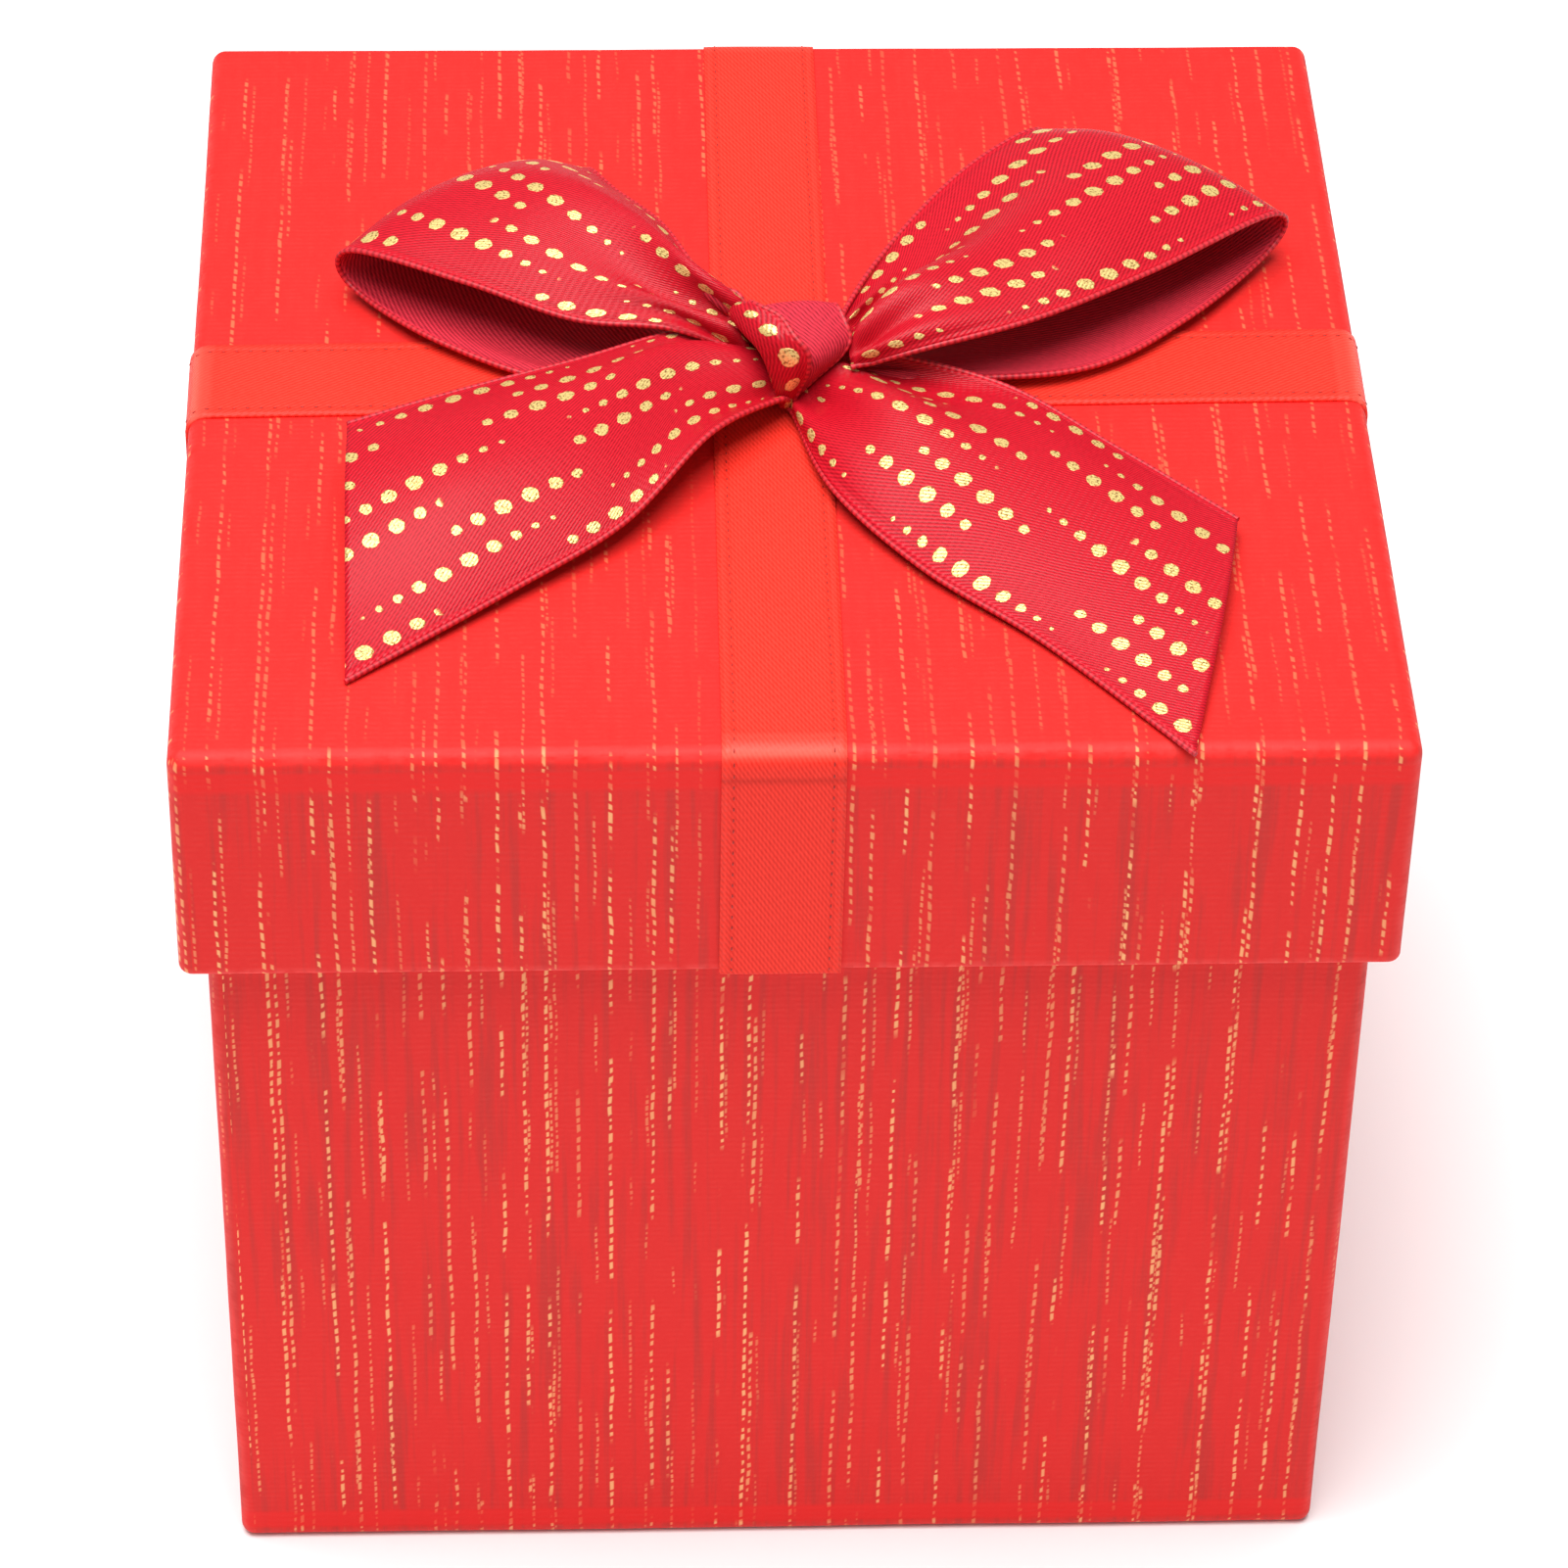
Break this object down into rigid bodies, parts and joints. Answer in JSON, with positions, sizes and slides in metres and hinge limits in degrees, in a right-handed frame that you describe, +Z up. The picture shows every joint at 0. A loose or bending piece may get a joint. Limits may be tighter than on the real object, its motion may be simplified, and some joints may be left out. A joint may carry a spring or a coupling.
{
  "type": "gift box",
  "caption": "Square paper-covered rigid gift box with a lift-off lid, crossed flat ribbon bands and a tied ribbon bow on top.",
  "frame": {"origin": "centre of the underside of the base, on the surface that the box stands on", "axes": "+Z up out of the lid, -Y towards the front, where the bow's tails hang forward, +X to the right seen from the front"},
  "size_m": [0.1006, 0.1006, 0.1026],
  "materials": {
    "greyboard": "matte",
    "wrap_paper": "satin",
    "liner_paper": "matte",
    "stay_tape": "matte",
    "band_satin": "satin",
    "bow_satin": "satin",
    "glue": "satin"
  },
  "bodies": {
    "base": {"base_board": "greyboard", "base_corner_stays": "stay_tape", "base_wrap": "wrap_paper", "base_liner": "liner_paper"},
    "lid": {"lid_board": "greyboard", "lid_corner_stays": "stay_tape", "lid_wrap": "wrap_paper", "lid_liner": "liner_paper", "ribbon_band_left_right": "band_satin", "ribbon_band_front_back": "band_satin", "bow_glue_dot": "glue", "bow_knot": "bow_satin", "bow_loop_left": "bow_satin", "bow_loop_right": "bow_satin", "bow_tail_left": "bow_satin", "bow_tail_right": "bow_satin"}
  },
  "joints": [
    {"name": "lid_lift", "type": "slide", "parent": "base", "child": "lid", "axis": [0, 0, 1], "range_m": [0, 0.05]}
  ]
}
